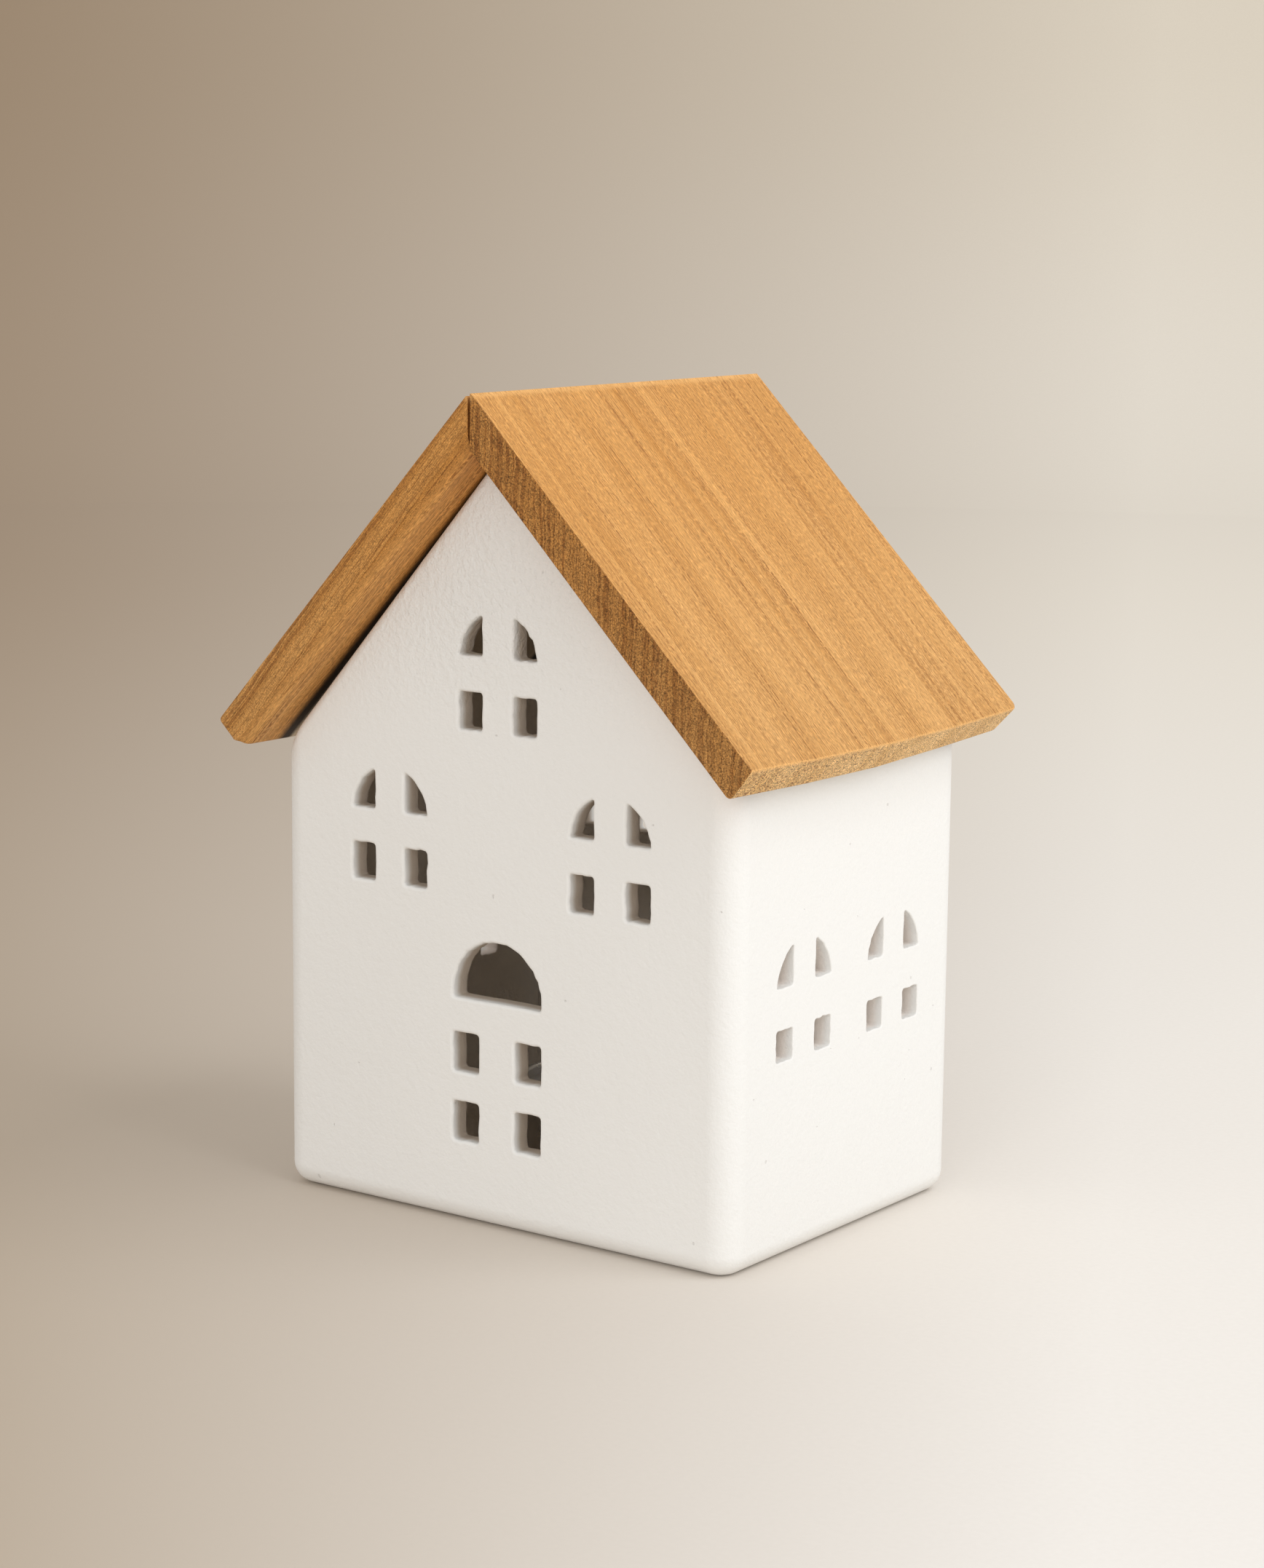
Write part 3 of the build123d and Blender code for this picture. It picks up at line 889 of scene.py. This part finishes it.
def steelMaterial():
    material, tree, shader = newMaterial("tinnedSteel")
    place = tree.nodes.new("ShaderNodeTexCoord").outputs["Object"]
    brushed = noise(tree, vectorCalc(tree, "MULTIPLY", place, (300, 4200, 300)), detail=3.0)
    colour = blend(tree, brushed, (0.64, 0.64, 0.65, 1), (0.52, 0.52, 0.53, 1))
    tree.links.new(colour, shader.inputs["Base Color"])
    shader.inputs["Metallic"].default_value = 1.0
    tree.links.new(ramp(tree, brushed, 0.3, 0.7, 0.28, 0.42), shader.inputs["Roughness"])
    return material


def modelCup():
    low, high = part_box("tealight_cup")
    outer = high.x / mm
    radius, foot, bottom, top = outer - tealight["rim"], tealight["foot"], low.z / mm, high.z / mm
    inner = radius - tealight["wall"]
    floor = bottom + tealight["wall"]
    cup = startRing("tealightCup", (radius - foot) * mm, bottom * mm, tealight["sides"])
    profile = [(radius - foot * 0.45, bottom + foot * 0.12), (radius - foot * 0.12, bottom + foot * 0.45),
               (radius, bottom + foot), (radius, bottom + foot * 2.2), (radius, top - 2.0), (radius, top - 1.1),
               (outer - 0.25, top - 0.85), (outer, top - 0.5), (outer - 0.12, top - 0.15), (outer - 0.5, top),
               (outer - 0.9, top - 0.12), (inner, top - 0.7), (inner, floor + foot),
               (inner - foot * 0.3, floor + foot * 0.3), (inner - foot, floor)]
    turnUp(cup, [(across * mm, height * mm) for across, height in profile])
    closeRings(cup)

    def onFlute(vert):
        turnStep = round(math.degrees(math.atan2(vert.co.y, vert.co.x)) / 360 * tealight["sides"])
        onWall = abs(math.hypot(vert.co.x, vert.co.y) - radius * mm) < 0.01 * mm
        return onWall and (bottom + foot * 1.5) * mm < vert.co.z < (top - 1.5) * mm and turnStep % 2 == 1

    choose(cup, "verts", onFlute)
    swell = 1 - tealight["flute"] / radius
    bpy.ops.transform.resize(value=(swell, swell, 1), center_override=(0, 0, 0))
    bpy.ops.object.mode_set(mode="OBJECT")
    outward(cup)
    shade(cup, 50)
    settle(cup, "tealight", "tealight_cup", "cup_aluminium", aluminiumMaterial())


def modelWax():
    low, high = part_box("tealight_wax")
    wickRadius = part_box("tealight_wick")[1].x / mm + 0.04
    radius, bottom, top = high.x / mm, low.z / mm, high.z / mm
    level = top - tealight["meniscus"]
    wax = startRing("tealightWax", (radius - 0.9) * mm, bottom * mm, tealight["sides"])
    profile = [(radius - 0.25, bottom + 0.3), (radius, bottom + 1.0), (radius, top - 0.05),
               (radius - 0.12, top), (radius - 0.45, top - tealight["meniscus"] * 0.6),
               (radius - 1.2, level), (radius * 0.7, level - 0.05), (radius * 0.35, level - 0.1),
               (wickRadius + 1.6, level), (wickRadius + 0.6, level + tealight["collar"] * 0.4),
               (wickRadius, level + tealight["collar"]), (wickRadius, bottom)]
    turnUp(wax, [(across * mm, height * mm) for across, height in profile])
    choose(wax, "edges", lambda edge: len(edge.link_faces) == 1)
    bpy.ops.mesh.bridge_edge_loops()
    bpy.ops.object.mode_set(mode="OBJECT")
    outward(wax)
    shade(wax, 50)
    settle(wax, "tealight", "tealight_wax", "candle_wax", waxMaterial())


def modelWick():
    low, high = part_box("tealight_wick")
    radius, bottom, top = high.x, low.z, high.z
    wick = startRing("tealightWick", radius, bottom, 12)
    bpy.ops.transform.resize(value=(1, tealight["wickOval"], 1), center_override=(0, 0, 0))
    loops = tealight["wickLoops"]
    for loop in range(1, loops + 1):  # twisted as it is drawn up, leaning a little at the tip
        lean = tealight["tipLean"] * mm * max(0, loop / loops - 0.75)
        rise = (lean, 0, (top - bottom) / loops)
        bpy.ops.mesh.extrude_region_move(TRANSFORM_OT_translate={"value": rise})
        twist = math.radians(tealight["wickTwist"])
        bpy.ops.transform.rotate(value=twist, orient_axis="Z", center_override=(0, 0, 0))
    bpy.ops.transform.resize(value=(0.8, 0.8, 1), center_override=(0, 0, 0))
    closeRings(wick)
    bpy.ops.object.mode_set(mode="OBJECT")
    outward(wick)
    shade(wick, 60)
    settle(wick, "tealight", "tealight_wick", "wick_cotton", cottonMaterial())


def finishSustainer():  # sunk in the wax, so the CAD tab only takes its finish
    tab = bpy.data.objects["wick_sustainer"]
    tab.data.materials.clear()
    tab.data.materials.append(steelMaterial())


modelCup()
modelWax()
modelWick()
finishSustainer()
print("tealight modelled")


# Stage and light

# the stage colours paint light falloff: darker to the left, paler to the right, more so further back, and a
# little darker up the cove
stage = {
    "floorRadius": 1.4, "coveRadius": 0.5, "wallHeight": 1.0, "coveSteps": 14,
    "near": {"left": (0.50, 0.412, 0.320, 1), "right": (0.87, 0.825, 0.775, 1)},
    "far": {"left": (0.445, 0.338, 0.243, 1), "right": (0.98, 0.915, 0.815, 1)},
    "paintedFalloff": (-0.20, 0.15), "farPower": 1.3, "depth": (0.4, 1.7), "viewBack": 0.613, "nearest": 0.4,
    "topTint": (0.93, 0.91, 0.87, 1), "topFrom": 0.03, "topTo": 0.3,
}


def stageMaterial():
    material, tree, shader = newMaterial("paleStage")
    coords = tree.nodes.new("ShaderNodeTexCoord").outputs["Object"]
    sockets = {"Vector": coords, "Rotation": (0, 0, -math.radians(camera["azimuth"])),
               "Location": (0, stage["viewBack"], 0)}
    seen = newNode(tree, "SeparateXYZ", {0: newNode(tree, "Mapping", sockets).outputs[0]}).outputs
    away = calc(tree, "MAXIMUM", calc(tree, "ABSOLUTE", seen[1]), stage["nearest"])
    fan = calc(tree, "DIVIDE", seen[0], away)
    # painted light falloff across the view, dark at the left and pale at the right
    sockets = {"Value": fan, "From Min": stage["paintedFalloff"][0], "From Max": stage["paintedFalloff"][1]}
    paintedFalloff = newNode(tree, "MapRange", sockets).outputs["Result"]
    tooth = noise(tree, coords, scale=900, detail=1.0)
    near = blend(tree, paintedFalloff, stage["near"]["left"], stage["near"]["right"])
    farPaintedFalloff = calc(tree, "POWER", paintedFalloff, stage["farPower"])
    far = blend(tree, farPaintedFalloff, stage["far"]["left"], stage["far"]["right"])
    colour = blend(tree, ramp(tree, seen[1], *stage["depth"]), near, far)
    # painted shade, a little darker up the cove
    colour = blend(tree, ramp(tree, seen[2], stage["topFrom"], stage["topTo"]), colour,
                   blend(tree, 1.0, colour, stage["topTint"], "MULTIPLY"))
    colour = blend(tree, calc(tree, "MULTIPLY", tooth, 0.08), colour, (0.45, 0.40, 0.34, 1))
    tree.links.new(colour, shader.inputs["Base Color"])
    shader.inputs["Roughness"].default_value = 0.9
    shader.inputs["Specular IOR Level"].default_value = 0.1
    return material


def modelStage():
    material = stageMaterial()
    deselect()
    bpy.ops.mesh.primitive_circle_add(vertices=128, radius=stage["floorRadius"], fill_type="NGON")
    floor = bpy.context.object
    floor.name = floor.data.name = "floor"
    backdrop = startRing("backdrop", stage["floorRadius"], 0, 128)
    profile = []
    for step in range(1, stage["coveSteps"] + 1):
        angle = step / stage["coveSteps"] * math.pi / 2
        profile.append((stage["floorRadius"] + stage["coveRadius"] * math.sin(angle),
                        stage["coveRadius"] * (1 - math.cos(angle))))
    profile.append((profile[-1][0], profile[-1][1] + stage["wallHeight"]))
    turnUp(backdrop, profile)
    bpy.ops.object.mode_set(mode="OBJECT")
    for piece in (floor, backdrop):
        piece.data.materials.append(material)
    shade(backdrop, 60)
    backdrop.visible_diffuse = False
    backdrop.visible_shadow = False


lights = {
    "world": (1.0, 0.985, 0.96), "worldStrength": 0.72,
    "key": {"from": (0.95, 0.12, 0.80), "distance": 1.1, "size": 0.9, "power": 5.75,
            "colour": (0.90, 0.95, 1.0)},
    "fill": {"from": (0.35, -0.88, 0.22), "distance": 1.1, "size": 0.5, "power": 2.8,
             "colour": (0.94, 0.97, 1.0)},
}


def addLights():
    world = bpy.data.worlds.new("studio")
    bpy.context.scene.world = world
    world.use_nodes = True
    background = world.node_tree.nodes["Background"]
    background.inputs["Color"].default_value = (*lights["world"], 1)
    background.inputs["Strength"].default_value = lights["worldStrength"]
    target = Vector((0, 0, (cadLow.z + cadHigh.z) / 2))
    for name in ("key", "fill"):
        light = lights[name]
        aim = Vector(light["from"]).normalized()
        deselect()
        bpy.ops.object.light_add(type="AREA", location=target + aim * light["distance"])
        lamp = bpy.context.object
        lamp.name = name
        lamp.rotation_euler = aim.to_track_quat("Z", "Y").to_euler()
        lamp.data.size = light["size"]
        lamp.data.energy = light["power"]
        lamp.data.color = light["colour"]
        lamp.visible_camera = False


modelStage()
addLights()
print("stage and light set")
